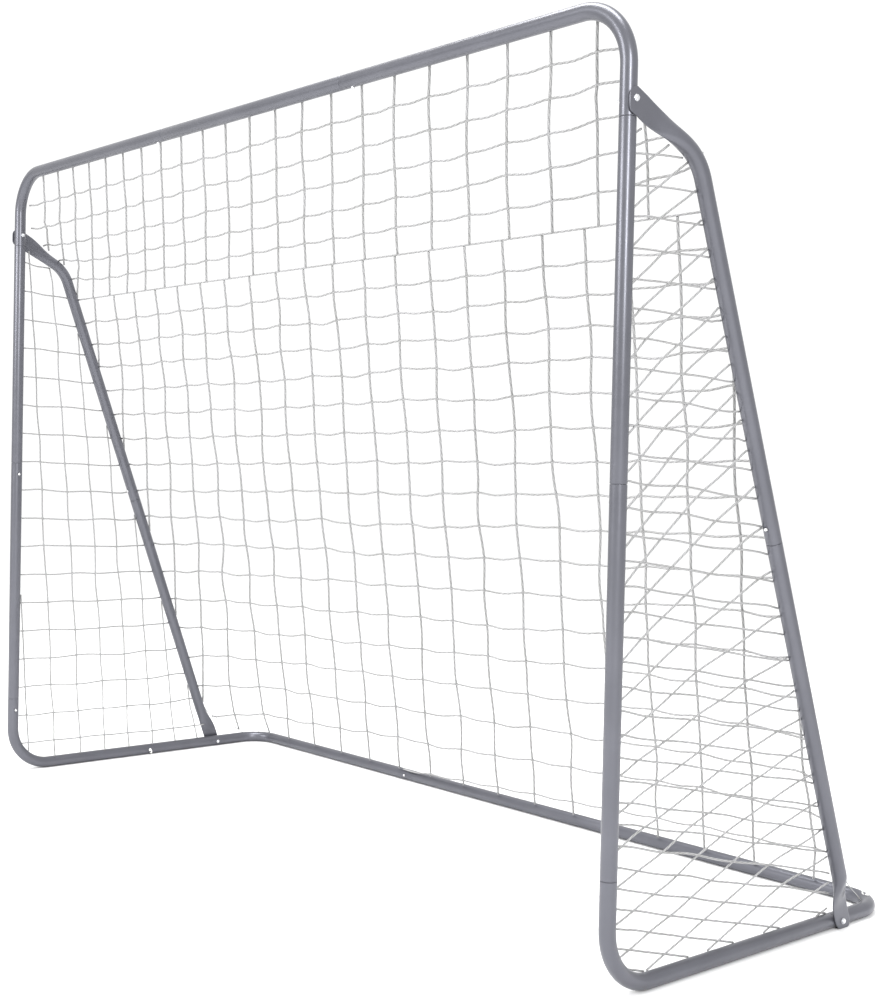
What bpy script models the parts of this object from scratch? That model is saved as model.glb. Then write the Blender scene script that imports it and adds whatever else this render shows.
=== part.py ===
"""Garden soccer goal: a knock-down frame of painted steel tube with a hung net.

Sixteen tubes push into each other on swaged spigots. Spring buttons lock most of the joints, and
four through bolts hold the bent braces to the posts and to the ground rails.
Metres, +Z up. The mouth faces -Y, and the origin is on the ground in the middle of the goal.
"""

import math

import bmesh
import bpy
from mathutils import Vector

# Driving dimensions
GOAL_WIDTH = 2.44
GOAL_HEIGHT = 1.80
GOAL_DEPTH = 0.93
TUBE_R = 0.016
WALL = 0.0012
BEND_R = 0.115
REAR_BEND_R = 0.085
GAP = 0.0003
SEAM_GAP = 0.0006

# Tube section: the facets of the section stand at the nominal radius
SIDES = 16
BEND_STEPS = 6
BORE_R = TUBE_R - WALL
SPIGOT_R = BORE_R - GAP
SPIGOT_BORE_R = SPIGOT_R - WALL
SPIGOT_LENGTH = 0.060
SWAGE_START = 0.001
SWAGE_END = 0.006

# Centre lines of the frame
POST_X = GOAL_WIDTH / 2 - TUBE_R
FRONT_Y = -GOAL_DEPTH / 2 + TUBE_R
REAR_Y = GOAL_DEPTH / 2 - TUBE_R
GROUND_Z = TUBE_R
CROSSBAR_Z = GOAL_HEIGHT - TUBE_R

# Where one tube ends and the next begins
CROSSBAR_SEAM_X = 0.375
REAR_SEAM_X = 0.382
POST_TOP_SEAM_Z = 1.577
POST_MIDDLE_SEAM_Z = 0.930
POST_BOTTOM_SEAM_Z = 0.221
RAIL_SEAM_Y = 0.244
BRACE_SEAM_Z = 0.818

# Braces: bolted at the top and at the foot, bent once near the top
TOP_BOLT_Z = POST_TOP_SEAM_Z + 0.031
FOOT_BOLT_Y = RAIL_SEAM_Y + 0.022
BRACE_TOP_FALL = math.radians(27.5)
BRACE_LEAN = math.atan(0.3685)
BRACE_BEND_R = 0.10
PLATE_THICKNESS = 0.003
PLATE_HALF_WIDTH = 0.024
PRESS_STEPS = 5
BRACE_X = POST_X + TUBE_R + GAP + TUBE_R
PRESS_SHIFT = TUBE_R - PLATE_THICKNESS / 2

# Top plate: how far the pressed part reaches from the bolt, then the cropped nose
TOP_ROUND_FROM = 0.135
TOP_FLAT_FROM = 0.030
TOP_CAVITY_END = 0.075
TOP_PLATE_DROP = 0.0023
NOSE_OFFSETS = (0.004, -0.009, -0.0155)
NOSE_HALF_HEIGHTS = (0.026, 0.017, 0.0085)

# Foot plate: heights above the ground
FOOT_ROUND_FROM = 0.125
FOOT_FLAT_FROM = 0.046
FOOT_CAVITY_END = 0.085
FOOT_HEIGHTS = (0.028, 0.009, 0.0006)
FOOT_HALF_WIDTHS = (0.0257, 0.0235, 0.016)

# Spring buttons: distances from the tube's centre line, along the button
BUTTON_SIDES = 12
BUTTON_R = 0.004
BUTTON_HOLE_R = 0.0046
BUTTON_FROM_SEAM = 0.034
FLANGE_R = 0.0055
FLANGE_BOTTOM = 0.0098
FLANGE_TOP = 0.0113
BUTTON_SHOULDER = 0.0190
BUTTON_TOP = 0.0208
BUTTON_TOP_R = 0.0022

# Leaf springs behind the buttons, seen from the side: (along the tube, out from the centre line)
SPRING_WIDTH = 0.007
SPRING_THICKNESS = 0.0008
SPRING_POINTS = ((-0.006, 0.0091), (0.005, 0.0091), (0.022, 0.0010), (0.022, -0.0035), (-0.010, -0.0118))

# Bolts and nuts
BOLT_R = 0.003
BOLT_HOLE_R = 0.0036
BOLT_HOLE_REACH = 2 * TUBE_R
BOLT_HEAD_R = 0.0065
BOLT_HEAD_SHOULDER = 0.0017
BOLT_HEAD_HEIGHT = 0.0038
BOLT_HEAD_TOP_R = 0.0036
BOLT_TAIL = 0.0080
NUT_SIDES = 6
NUT_R = 0.0058
NUT_HOLE_R = 0.0039
NUT_HEIGHT = 0.0050

# Plastic net hooks
HOOK_SIDES = 8
HOOK_WIRE_R = 0.0016
HOOK_BASE_R = 0.0045
HOOK_BASE_HEIGHT = 0.0020
HOOK_NECK = 0.0055
HOOK_CURL_R = 0.0050
HOOK_CURL = math.radians(250.0)
HOOK_STEPS = 7
HOOK_CROSSBAR_X = 0.21
HOOK_BRACE_HEIGHTS = (1.050, 0.630)
HOOK_RAIL_Y = 0.012

# Net panels: thin slabs between the tubes
NET_THICKNESS = 0.003
NET_TUBE_GAP = 0.0015
ROOF_TOP_HALF_WIDTH = POST_X - 0.129
ROOF_TOP = (FRONT_Y + 0.022, CROSSBAR_Z - 0.023)
NET_HALF_WIDTH = POST_X - 0.012
NET_FOLD_DROP = 0.036
NET_SIDE_DROP = 0.012
BACK_BOTTOM_HALF_WIDTH = POST_X - 0.124
BACK_BOTTOM = (REAR_Y - 0.020, GROUND_Z + 0.030)
NET_FOOT_Z = 0.066
SIDE_NET_X = POST_X - 0.0055

LEFT, RIGHT = -1, 1
SIDE_NAMES = {LEFT: "left", RIGHT: "right"}
X, Y, Z = Vector((1, 0, 0)), Vector((0, 1, 0)), Vector((0, 0, 1))


def material(name, colour, metallic, roughness):
    """A Principled material, made once."""
    found = bpy.data.materials.get(name)
    if found:
        return found
    made = bpy.data.materials.new(name)
    made.use_nodes = True
    shader = made.node_tree.nodes["Principled BSDF"]
    shader.inputs["Base Color"].default_value = (*colour, 1.0)
    shader.inputs["Metallic"].default_value = metallic
    shader.inputs["Roughness"].default_value = roughness
    return made


def frame_paint():
    return material("frame_paint", (0.27, 0.275, 0.33), 0.35, 0.38)


def bolt_zinc():
    return material("bolt_zinc", (0.72, 0.73, 0.75), 1.0, 0.28)


def button_nickel():
    return material("button_nickel", (0.66, 0.66, 0.68), 1.0, 0.25)


def spring_steel():
    return material("spring_steel", (0.30, 0.30, 0.32), 1.0, 0.40)


def hook_plastic():
    return material("hook_plastic", (0.90, 0.90, 0.90), 0.0, 0.45)


def net_cord():
    return material("net_cord", (0.86, 0.86, 0.86), 0.0, 0.85)


def add_object(name, bm, surface):
    """The mesh as a named object, shaded smooth between its sharp edges."""
    bmesh.ops.recalc_face_normals(bm, faces=bm.faces)
    mesh = bpy.data.meshes.new(name)
    bm.to_mesh(mesh)
    bm.free()
    mesh.shade_smooth()
    mesh.set_sharp_from_angle(angle=math.radians(30))
    made = bpy.data.objects.new(name, mesh)
    bpy.context.scene.collection.objects.link(made)
    made.data.materials.append(surface)
    return made


def skin(rings, closed):
    """A mesh over a row of equal rings: joined back to the first ring, or capped at both ends."""
    bm = bmesh.new()
    rows = [[bm.verts.new(point) for point in ring] for ring in rings]
    pairs = list(zip(rows, rows[1:]))
    if closed:
        pairs.append((rows[-1], rows[0]))
    for row, following in pairs:
        for k in range(len(row)):
            after = (k + 1) % len(row)
            bm.faces.new((row[k], row[after], following[after], following[k]))
    if not closed:
        bm.faces.new(rows[0])
        bm.faces.new(rows[-1])
    return bm


def round_ring(centre, across, side, radius, sides=SIDES):
    """A regular ring whose facets stand at the radius, one of them facing along across."""
    corner = radius / math.cos(math.pi / sides)
    ring = []
    for k in range(sides):
        angle = (k + 0.5) * math.tau / sides
        ring.append(centre + across * (corner * math.cos(angle)) + side * (corner * math.sin(angle)))
    return ring


def pressed_ring(centre, across, side, radius, half_width, half_thickness, flatness):
    """A tube's ring on its way from round, at flatness 0, to a plate on its inboard side, at flatness 1."""
    ring = []
    for k, point in enumerate(round_ring(Vector((0, 0, 0)), across, side, radius)):
        step = k % (SIDES // 2)
        run = 1 - 2 * step / (SIDES // 2 - 1)
        upper = k < SIDES // 2
        flat = across * (half_width * (run if upper else -run))
        flat = flat + side * ((half_thickness if upper else -half_thickness) - PRESS_SHIFT)
        ring.append(centre + point.lerp(flat, flatness))
    return ring


def route(points, side, bend_radius=BEND_R, steps=BEND_STEPS):
    """Stations (centre, across, side) along a line with one rounded corner, or along a straight line."""
    start, end = points[0], points[-1]
    if len(points) == 2:
        across = side.cross((end - start).normalized())
        return [(start, across, side), (end, across, side)]
    corner = points[1]
    into = (corner - start).normalized()
    out = (end - corner).normalized()
    turn = into.angle(out)
    setback = bend_radius * math.tan(turn / 2)
    first = corner - into * setback
    towards_centre = (out - into * into.dot(out)).normalized()
    centre = first + towards_centre * bend_radius
    stations = [(start, side.cross(into), side)]
    for k in range(steps + 1):
        angle = turn * k / steps
        spoke = into * math.sin(angle) - towards_centre * math.cos(angle)
        tangent = into * math.cos(angle) + towards_centre * math.sin(angle)
        stations.append((centre + spoke * bend_radius, side.cross(tangent), side))
    stations.append((end, side.cross(out), side))
    return stations


def spigot_rings(station, outwards):
    """The rings of a swaged end: outside from tube to tip, and inside from tip to tube."""
    centre, across, side = station
    tip = centre + outwards * SPIGOT_LENGTH
    outside = [
        round_ring(centre, across, side, SPIGOT_R),
        round_ring(tip, across, side, SPIGOT_R),
    ]
    inside = [
        round_ring(tip, across, side, SPIGOT_BORE_R),
        round_ring(centre - outwards * SWAGE_START, across, side, SPIGOT_BORE_R),
        round_ring(centre - outwards * SWAGE_END, across, side, BORE_R),
    ]
    return outside, inside


def tube(name, stations, start_spigot=False, end_spigot=False):
    """A hollow tube along its stations, with a swaged spigot at the ends that push into another tube."""
    outer = [round_ring(*station, TUBE_R) for station in stations]
    inner = [round_ring(*station, BORE_R) for station in reversed(stations)]
    if end_spigot:
        outwards = (stations[-1][0] - stations[-2][0]).normalized()
        outside, inside = spigot_rings(stations[-1], outwards)
        outer = outer + outside
        inner = inside + inner[1:]
    if start_spigot:
        outwards = (stations[0][0] - stations[1][0]).normalized()
        outside, inside = spigot_rings(stations[0], outwards)
        outer = outside[::-1] + outer
        inner = inner[:-1] + inside[::-1]
    return add_object(name, skin(outer + inner, closed=True), frame_paint())


def turned(name, centre, axis, profile, sides, surface):
    """A solid turned about the axis; profile is a list of (distance along the axis, radius)."""
    across = axis.orthogonal().normalized()
    side = axis.cross(across)
    rings = []
    for distance, radius in profile:
        place = centre + axis * distance
        ring = []
        for k in range(sides):
            angle = (k + 0.5) * math.tau / sides
            ring.append(place + (across * math.cos(angle) + side * math.sin(angle)) * radius)
        rings.append(ring)
    return add_object(name, skin(rings, closed=False), surface)


def bore(target, name, centre, axis, radius, reach_in, reach_out):
    """Cut a round hole along the axis through the target, with a hidden cutter."""
    profile = [(-reach_in, radius), (reach_out, radius)]
    cutter = turned(name, centre, axis, profile, BUTTON_SIDES, frame_paint())
    cutter.hide_render = True
    cutter.display_type = "WIRE"
    cut = target.modifiers.new(name, "BOOLEAN")
    cut.operation = "DIFFERENCE"
    cut.solver = "EXACT"
    cut.object = cutter


def leaf_spring(name, centre, along, out):
    """A bent strip of spring steel inside the spigot, open towards the button."""
    side = along.cross(out)
    outline = []
    for sign in (1, -1):
        points = SPRING_POINTS if sign > 0 else SPRING_POINTS[::-1]
        for k, (run, rise) in enumerate(points):
            before = Vector(points[max(k - 1, 0)])
            after = Vector(points[min(k + 1, len(points) - 1)])
            here = Vector((run, rise))
            arms = [(here - before), (after - here)]
            arms = [arm.normalized() for arm in arms if arm.length > 0]
            normals = [Vector((-arm.y, arm.x)) for arm in arms]
            mitre = sum(normals, Vector((0, 0))).normalized()
            reach = SPRING_THICKNESS / 2 / mitre.dot(normals[0])
            outline.append(here + mitre * reach)
    rings = []
    for offset in (-SPRING_WIDTH / 2, SPRING_WIDTH / 2):
        place = centre + side * offset
        rings.append([place + along * point.x + out * point.y for point in outline])
    return add_object(name, skin(rings, closed=False), spring_steel())


def snap_button(name, seam, towards_tip, out, female, male):
    """A button through two tube walls, with its leaf spring. It slides in along minus out."""
    centre = seam + towards_tip * BUTTON_FROM_SEAM
    profile = [
        (FLANGE_BOTTOM, FLANGE_R),
        (FLANGE_TOP, FLANGE_R),
        (FLANGE_TOP, BUTTON_R),
        (BUTTON_SHOULDER, BUTTON_R),
        (BUTTON_TOP, BUTTON_TOP_R),
    ]
    turned("button_" + name, centre, out, profile, BUTTON_SIDES, button_nickel())
    leaf_spring("spring_" + name, centre, -towards_tip, out)
    for tube_object in (female, male):
        cutter_name = "cut_button_" + name + "_" + tube_object.name
        bore(tube_object, cutter_name, centre, out, BUTTON_HOLE_R, -FLANGE_BOTTOM, BUTTON_TOP)


def through_bolt(name, centre, outwards, pierced):
    """A bolt along X from the brace plate to the goal's inner side, with its nut."""
    under_head = TUBE_R + GAP + PLATE_THICKNESS + GAP
    nut_face = -(TUBE_R + GAP)
    profile = [
        (nut_face - BOLT_TAIL, BOLT_R),
        (under_head, BOLT_R),
        (under_head, BOLT_HEAD_R),
        (under_head + BOLT_HEAD_SHOULDER, BOLT_HEAD_R),
        (under_head + BOLT_HEAD_HEIGHT, BOLT_HEAD_TOP_R),
    ]
    turned("bolt_" + name, centre, outwards, profile, BUTTON_SIDES, bolt_zinc())
    rings = []
    for distance, radius in (
        (nut_face, NUT_R),
        (nut_face - NUT_HEIGHT, NUT_R),
        (nut_face - NUT_HEIGHT, NUT_HOLE_R),
        (nut_face, NUT_HOLE_R),
    ):
        place = centre + outwards * distance
        ring = []
        for k in range(NUT_SIDES):
            angle = k * math.tau / NUT_SIDES
            ring.append(place + (Y * math.cos(angle) + Z * math.sin(angle)) * radius)
        rings.append(ring)
    add_object("nut_" + name, skin(rings, closed=True), bolt_zinc())
    for tube_object in pierced:
        cutter_name = "cut_bolt_" + name + "_" + tube_object.name
        bore(tube_object, cutter_name, centre, outwards, BOLT_HOLE_R, BOLT_HOLE_REACH, BOLT_HOLE_REACH)


def net_hook(name, surface_point, out, curl_side):
    """A plastic peg with a curled end that the net's edge cord lies in."""
    third = out.cross(curl_side)
    base = surface_point + out * GAP
    neck_end = base + out * HOOK_NECK
    centre = neck_end + curl_side * HOOK_CURL_R
    rings = []
    for distance, radius in ((0, HOOK_BASE_R), (HOOK_BASE_HEIGHT, HOOK_BASE_R), (HOOK_BASE_HEIGHT, HOOK_WIRE_R)):
        rings.append(round_ring(base + out * distance, curl_side, third, radius, HOOK_SIDES))
    for k in range(HOOK_STEPS + 1):
        angle = HOOK_CURL * k / HOOK_STEPS
        spoke = out * math.sin(angle) - curl_side * math.cos(angle)
        rings.append(round_ring(centre + spoke * HOOK_CURL_R, -spoke, third, HOOK_WIRE_R, HOOK_SIDES))
    return add_object("hook_" + name, skin(rings, closed=False), hook_plastic())


def net_sheet(name, corners, panels):
    """A thin closed sheet over flat panels; each panel lists the numbers of its corners."""
    bm = bmesh.new()
    points = [bm.verts.new(corner) for corner in corners]
    for panel in panels:
        bm.faces.new([points[number] for number in panel])
    bm.normal_update()
    bmesh.ops.solidify(bm, geom=bm.faces, thickness=NET_THICKNESS)
    return add_object(name, bm, net_cord())


def brace_foot():
    """The foot bolt's place in the brace's plane."""
    return Vector((0, FOOT_BOLT_Y, GROUND_Z))


def brace_directions():
    """Unit directions down the brace, in its plane: before the bend, and after it."""
    upper = Vector((0, math.cos(BRACE_TOP_FALL), -math.sin(BRACE_TOP_FALL)))
    lower = Vector((0, math.sin(BRACE_LEAN), -math.cos(BRACE_LEAN)))
    return upper, lower


def brace_start():
    """The start of the brace's centre line, just below the top bolt."""
    return Vector((0, FRONT_Y, TOP_BOLT_Z - TOP_PLATE_DROP))


def brace_corner():
    """Where the two straight lines of the brace meet."""
    upper, lower = brace_directions()
    start, foot = brace_start(), brace_foot()
    between = foot - start
    run = (between.y * lower.z - between.z * lower.y) / (upper.y * lower.z - upper.z * lower.y)
    return start + upper * run


def brace_point(z):
    """The point at height z on the brace's long straight part."""
    _, lower = brace_directions()
    foot = brace_foot()
    return foot + lower * ((z - foot.z) / lower.z)


def brace_sections(stations, flatness, half_width, hollow_until):
    """Outer and inner rings of a brace tube; flatness and half_width are worked out at each centre."""
    outer = []
    inner = []
    for centre, across, side in stations:
        flat = flatness(centre)
        width = half_width(centre)
        outer.append(pressed_ring(centre, across, side, TUBE_R, width, PLATE_THICKNESS / 2, flat))
        if hollow_until(centre):
            inner.append(pressed_ring(centre, across, side, BORE_R, width - WALL, WALL, flat))
    return outer, inner


def ease(value):
    """A smooth step from 0 to 1."""
    value = min(max(value, 0.0), 1.0)
    return value * value * (3 - 2 * value)


def brace_upper(side_sign):
    """The bent upper brace tube: a pressed plate at the bolt, and an open lower end."""
    side = X * side_sign
    offset = side * BRACE_X
    upper, lower = brace_directions()
    start, corner = brace_start(), brace_corner()
    seam = brace_point(BRACE_SEAM_Z) - lower * SEAM_GAP
    run = TOP_ROUND_FROM - TOP_FLAT_FROM
    straight = [TOP_FLAT_FROM + run * k / PRESS_STEPS for k in range(PRESS_STEPS + 1)]
    setback = BRACE_BEND_R * math.tan(upper.angle(lower) / 2)
    reach = (corner - start).length - setback
    stations = []
    for distance in straight:
        if distance < reach - SWAGE_START:
            stations.append((start + upper * distance + offset, side.cross(upper), side))
    bend = route([start + offset, corner + offset, seam + offset], side, BRACE_BEND_R)
    stations = stations + bend[1:]

    def distance_to(centre):
        return (centre - offset - start).length

    def flatness(centre):
        return 1 - ease((distance_to(centre) - TOP_FLAT_FROM) / (TOP_ROUND_FROM - TOP_FLAT_FROM))

    outer, inner = brace_sections(
        stations,
        flatness,
        lambda centre: PLATE_HALF_WIDTH,
        lambda centre: distance_to(centre) > TOP_CAVITY_END,
    )
    nose = []
    for along, half_height in zip(NOSE_OFFSETS, NOSE_HALF_HEIGHTS):
        centre = Vector((0, FRONT_Y + along, TOP_BOLT_Z - 2 * TOP_PLATE_DROP)) + offset
        centre.z -= along * math.tan(BRACE_TOP_FALL) * (along > 0)
        across = Z if side.cross(upper).z > 0 else -Z
        nose.append(pressed_ring(centre, across, side, TUBE_R, half_height, PLATE_THICKNESS / 2, 1))
    rings = nose[::-1] + outer + inner[::-1]
    return add_object("brace_upper_" + SIDE_NAMES[side_sign], skin(rings, closed=False), frame_paint())


def brace_lower(side_sign):
    """The straight lower brace tube: a swaged top, and a pressed foot on the rail."""
    side = X * side_sign
    offset = side * BRACE_X
    _, lower = brace_directions()
    across = side.cross(lower)
    seam = brace_point(BRACE_SEAM_Z) + offset
    heights = [BRACE_SEAM_Z, FOOT_ROUND_FROM]
    for k in range(1, PRESS_STEPS + 1):
        heights.append(FOOT_ROUND_FROM + (FOOT_FLAT_FROM - FOOT_ROUND_FROM) * k / PRESS_STEPS)
    stations = [(brace_point(z) + offset, across, side) for z in heights]

    def flatness(centre):
        return ease((FOOT_ROUND_FROM - centre.z) / (FOOT_ROUND_FROM - FOOT_FLAT_FROM))

    outer, inner = brace_sections(
        stations,
        flatness,
        lambda centre: PLATE_HALF_WIDTH,
        lambda centre: centre.z > FOOT_CAVITY_END,
    )
    toe = []
    for height, half_width in zip(FOOT_HEIGHTS, FOOT_HALF_WIDTHS):
        level = Y if across.y > 0 else -Y
        centre = brace_point(height) + offset
        toe.append(pressed_ring(centre, level, side, TUBE_R, half_width, PLATE_THICKNESS / 2, 1))
    outside, inside = spigot_rings((seam, across, side), -lower)
    rings = toe[::-1] + outer[::-1] + outside + inside + inner[1:]
    return add_object("brace_lower_" + SIDE_NAMES[side_sign], skin(rings, closed=False), frame_paint())


def crossbar():
    """The three tubes of the crossbar line, each top corner with its short drop to the post."""
    left_end = Vector((-CROSSBAR_SEAM_X, FRONT_Y, CROSSBAR_Z))
    right_end = Vector((CROSSBAR_SEAM_X, FRONT_Y, CROSSBAR_Z))
    middle = tube("crossbar_middle", route([left_end, right_end], Y), start_spigot=True, end_spigot=True)
    corners = {}
    for sign, name in SIDE_NAMES.items():
        inner_end = Vector((sign * (CROSSBAR_SEAM_X + SEAM_GAP), FRONT_Y, CROSSBAR_Z))
        corner = Vector((sign * POST_X, FRONT_Y, CROSSBAR_Z))
        lower_end = Vector((sign * POST_X, FRONT_Y, POST_TOP_SEAM_Z + SEAM_GAP))
        corners[sign] = tube("top_corner_" + name, route([inner_end, corner, lower_end], Y))
        seam = Vector((sign * CROSSBAR_SEAM_X, FRONT_Y, CROSSBAR_Z))
        snap_button("crossbar_" + name, seam, X * sign, -Z, corners[sign], middle)
    return corners


def posts():
    """Upper and lower post tubes with the button that locks them."""
    uppers = {}
    lowers = {}
    for sign, name in SIDE_NAMES.items():
        top = Vector((sign * POST_X, FRONT_Y, POST_TOP_SEAM_Z))
        middle = Vector((sign * POST_X, FRONT_Y, POST_MIDDLE_SEAM_Z))
        bottom = Vector((sign * POST_X, FRONT_Y, POST_BOTTOM_SEAM_Z))
        upper_stations = route([top, middle], Y)
        lower_stations = route([middle - Z * SEAM_GAP, bottom], Y)
        uppers[sign] = tube("post_upper_" + name, upper_stations, start_spigot=True, end_spigot=True)
        lowers[sign] = tube("post_lower_" + name, lower_stations, end_spigot=True)
        snap_button("post_middle_" + name, middle, -Z, X * -sign, lowers[sign], uppers[sign])
    return uppers, lowers


def ground_frame(post_lowers):
    """Bottom corners with their rails, rear corners, and the rear bar."""
    left_end = Vector((-REAR_SEAM_X, REAR_Y, GROUND_Z))
    right_end = Vector((REAR_SEAM_X, REAR_Y, GROUND_Z))
    middle = tube("rear_bar_middle", route([left_end, right_end], Z), start_spigot=True, end_spigot=True)
    bottoms = {}
    rears = {}
    for sign, name in SIDE_NAMES.items():
        top = Vector((sign * POST_X, FRONT_Y, POST_BOTTOM_SEAM_Z - SEAM_GAP))
        corner = Vector((sign * POST_X, FRONT_Y, GROUND_Z))
        rail_end = Vector((sign * POST_X, RAIL_SEAM_Y, GROUND_Z))
        bottoms[sign] = tube("bottom_corner_" + name, route([top, corner, rail_end], X), end_spigot=True)
        rail_start = rail_end + Y * SEAM_GAP
        rear_corner = Vector((sign * POST_X, REAR_Y, GROUND_Z))
        bar_end = Vector((sign * (REAR_SEAM_X + SEAM_GAP), REAR_Y, GROUND_Z))
        rear_stations = route([rail_start, rear_corner, bar_end], Z, REAR_BEND_R)
        rears[sign] = tube("rear_corner_" + name, rear_stations)
        post_seam = Vector((sign * POST_X, FRONT_Y, POST_BOTTOM_SEAM_Z))
        snap_button("post_bottom_" + name, post_seam, -Z, X * -sign, bottoms[sign], post_lowers[sign])
        bar_seam = Vector((sign * REAR_SEAM_X, REAR_Y, GROUND_Z))
        snap_button("rear_bar_" + name, bar_seam, X * sign, -Y, rears[sign], middle)
    return bottoms, rears


def braces(top_corners, post_uppers, bottom_corners, rear_corners):
    """Both braces with their buttons and the four through bolts."""
    _, lower = brace_directions()
    for sign, name in SIDE_NAMES.items():
        upper_tube = brace_upper(sign)
        lower_tube = brace_lower(sign)
        seam = brace_point(BRACE_SEAM_Z) + X * (sign * BRACE_X)
        forward = X.cross(lower)
        if forward.y > 0:
            forward = -forward
        snap_button("brace_" + name, seam, -lower, forward, upper_tube, lower_tube)
        top_bolt = Vector((sign * POST_X, FRONT_Y, TOP_BOLT_Z))
        foot_bolt = Vector((sign * POST_X, FOOT_BOLT_Y, GROUND_Z))
        outwards = X * sign
        through_bolt("top_" + name, top_bolt, outwards, (upper_tube, top_corners[sign], post_uppers[sign]))
        through_bolt("foot_" + name, foot_bolt, outwards, (lower_tube, bottom_corners[sign], rear_corners[sign]))


def net_hooks():
    """Hooks on the crossbar, the braces, the rails and the rear corners."""
    _, lower = brace_directions()
    rearward = X.cross(lower)
    if rearward.y < 0:
        rearward = -rearward
    for sign, name in SIDE_NAMES.items():
        on_bar = Vector((sign * HOOK_CROSSBAR_X, FRONT_Y + TUBE_R, CROSSBAR_Z))
        net_hook("crossbar_" + name, on_bar, Y, Z)
        for level, height in zip(("upper", "lower"), HOOK_BRACE_HEIGHTS):
            on_brace = brace_point(height) + X * (sign * BRACE_X) + rearward * TUBE_R
            net_hook("brace_" + level + "_" + name, on_brace, rearward, X * -sign)
        on_rail = Vector((sign * (POST_X - TUBE_R), HOOK_RAIL_Y, GROUND_Z))
        net_hook("rail_" + name, on_rail, X * -sign, -Z)
        bend_middle = REAR_BEND_R * (1 - math.cos(math.pi / 4))
        on_corner = Vector((sign * (POST_X - bend_middle), REAR_Y - bend_middle, GROUND_Z + TUBE_R))
        net_hook("rear_corner_" + name, on_corner, Z, Vector((-sign, -1, 0)).normalized())


def net_panels():
    """The net as thin sheets: a roof, a back that folds forward to the braces, and two sides."""
    corner = brace_corner()
    fold = brace_point(corner.z - NET_FOLD_DROP)
    foot = brace_point(NET_FOOT_Z)
    roof_y, roof_z = ROOF_TOP
    back_y, back_z = BACK_BOTTOM
    net_sheet(
        "net_roof",
        [
            Vector((-ROOF_TOP_HALF_WIDTH, roof_y, roof_z)),
            Vector((ROOF_TOP_HALF_WIDTH, roof_y, roof_z)),
            Vector((NET_HALF_WIDTH, fold.y, fold.z)),
            Vector((-NET_HALF_WIDTH, fold.y, fold.z)),
        ],
        [(0, 1, 2, 3)],
    )
    below_fold = fold + Vector((0, NET_THICKNESS, -2 * NET_THICKNESS))
    net_sheet(
        "net_back",
        [
            Vector((-NET_HALF_WIDTH, below_fold.y, below_fold.z)),
            Vector((NET_HALF_WIDTH, below_fold.y, below_fold.z)),
            Vector((BACK_BOTTOM_HALF_WIDTH, back_y, back_z)),
            Vector((-BACK_BOTTOM_HALF_WIDTH, back_y, back_z)),
            Vector((NET_HALF_WIDTH, foot.y, foot.z)),
            Vector((-NET_HALF_WIDTH, foot.y, foot.z)),
        ],
        [(0, 1, 2, 3), (1, 4, 2), (0, 3, 5)],
    )
    edge = TUBE_R + NET_TUBE_GAP
    plate = brace_start()
    for sign, name in SIDE_NAMES.items():
        side_x = sign * SIDE_NET_X
        net_sheet(
            "net_" + name,
            [
                Vector((side_x, FRONT_Y + edge, GROUND_Z + BEND_R)),
                Vector((side_x, FRONT_Y + BEND_R, GROUND_Z + edge)),
                Vector((side_x, foot.y, GROUND_Z + edge)),
                Vector((side_x, fold.y, fold.z)),
                Vector((side_x, corner.y - NET_SIDE_DROP, corner.z - NET_SIDE_DROP)),
                Vector((side_x, FRONT_Y + edge, plate.z - 2 * NET_SIDE_DROP)),
            ],
            [(0, 1, 2, 3, 4, 5)],
        )


def main():
    for existing in list(bpy.data.objects):
        bpy.data.objects.remove(existing)
    top_corners = crossbar()
    post_uppers, post_lowers = posts()
    bottom_corners, rear_corners = ground_frame(post_lowers)
    braces(top_corners, post_uppers, bottom_corners, rear_corners)
    net_hooks()
    net_panels()


main()
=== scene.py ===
import math
import random

import bmesh
import bpy
from mathutils import Matrix, Vector, noise


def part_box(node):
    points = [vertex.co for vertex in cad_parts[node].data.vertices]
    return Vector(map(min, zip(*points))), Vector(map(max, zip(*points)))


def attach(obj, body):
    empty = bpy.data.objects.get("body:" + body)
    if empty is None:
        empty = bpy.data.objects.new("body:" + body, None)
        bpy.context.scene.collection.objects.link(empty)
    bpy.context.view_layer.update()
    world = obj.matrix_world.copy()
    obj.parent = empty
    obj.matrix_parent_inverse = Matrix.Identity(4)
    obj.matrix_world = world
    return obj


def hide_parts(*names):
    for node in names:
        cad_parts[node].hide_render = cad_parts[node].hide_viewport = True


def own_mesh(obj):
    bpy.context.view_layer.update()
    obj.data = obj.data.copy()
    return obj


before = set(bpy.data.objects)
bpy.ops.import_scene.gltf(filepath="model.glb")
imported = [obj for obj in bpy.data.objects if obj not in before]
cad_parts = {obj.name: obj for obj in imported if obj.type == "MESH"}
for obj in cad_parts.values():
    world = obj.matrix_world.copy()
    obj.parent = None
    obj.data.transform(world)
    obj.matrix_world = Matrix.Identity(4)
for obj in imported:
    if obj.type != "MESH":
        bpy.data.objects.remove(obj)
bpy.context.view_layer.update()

X, Y, Z = Vector((1, 0, 0)), Vector((0, 1, 0)), Vector((0, 0, 1))
SIDE_SIGNS = {"left": -1, "right": 1}


def middle(node):
    """The centre of a CAD node's box."""
    low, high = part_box(node)
    return (low + high) / 2


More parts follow.
